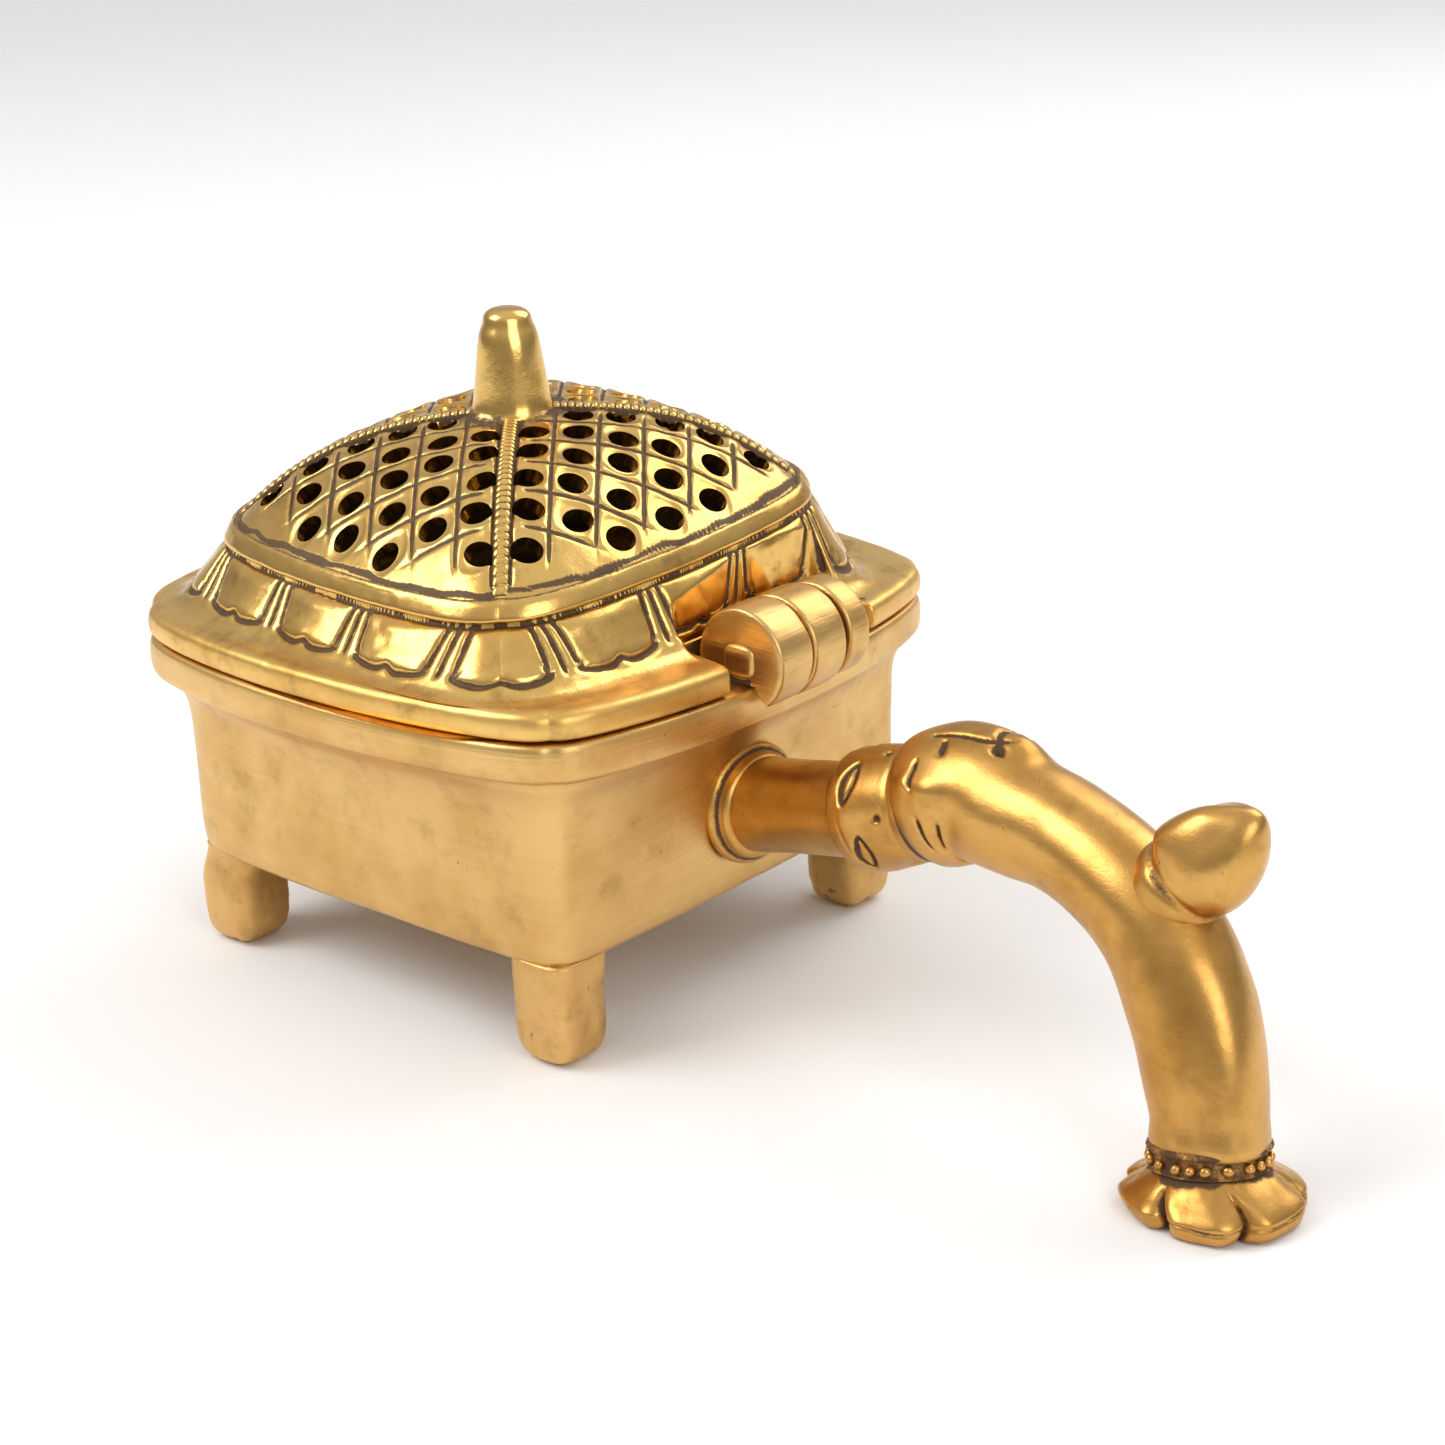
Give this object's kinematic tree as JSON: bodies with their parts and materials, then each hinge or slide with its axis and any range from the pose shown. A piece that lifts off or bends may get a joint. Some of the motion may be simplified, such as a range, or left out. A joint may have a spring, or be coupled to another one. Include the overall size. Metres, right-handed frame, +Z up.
{
  "type": "handled incense burner",
  "caption": "Cast brass incense burner: cushion-shaped ember box on feet, perforated domed lid on a pinned hinge, and a curved carrying handle that ends in its own foot.",
  "frame": {"origin": "middle of the whole burner on the surface that its feet stand on; the ember box's middle is 49.1 mm along -X", "axes": "+X out of the hinge wall along the handle, +Y along the hinge pin, +Z up"},
  "size_m": [0.2063, 0.108, 0.1063],
  "materials": {
    "satin_brass": "satin, ground in one direction",
    "polished_brass": "polished with dark patina in the grooves",
    "handle_brass": "satin with patina in the engraving",
    "cast_brass": "as cast, lightly pitted",
    "fastener_steel": "plain"
  },
  "bodies": {
    "box": {"box_shell": "satin_brass", "foot_free_near": "cast_brass", "foot_free_far": "cast_brass", "foot_hinge_near": "cast_brass", "foot_hinge_far": "cast_brass", "hinge_lug_near": "satin_brass", "hinge_lug_far": "satin_brass", "hinge_pin": "satin_brass", "handle_root": "handle_brass", "handle_neck": "handle_brass", "handle_collar": "handle_brass", "handle_arm": "handle_brass", "thumb_bud": "handle_brass", "ankle_band": "handle_brass", "handle_foot": "handle_brass", "handle_stud": "fastener_steel", "handle_washer": "fastener_steel", "handle_nut": "fastener_steel"},
    "lid": {"lid_shell": "polished_brass", "lid_knuckle": "satin_brass", "finial": "polished_brass"}
  },
  "joints": [
    {"name": "lid_hinge", "type": "hinge", "parent": "box", "child": "lid", "pos_m": [0.0019, 0.003, 0.0594], "axis": [0, 1, 0], "range_deg": [0, 130]}
  ]
}
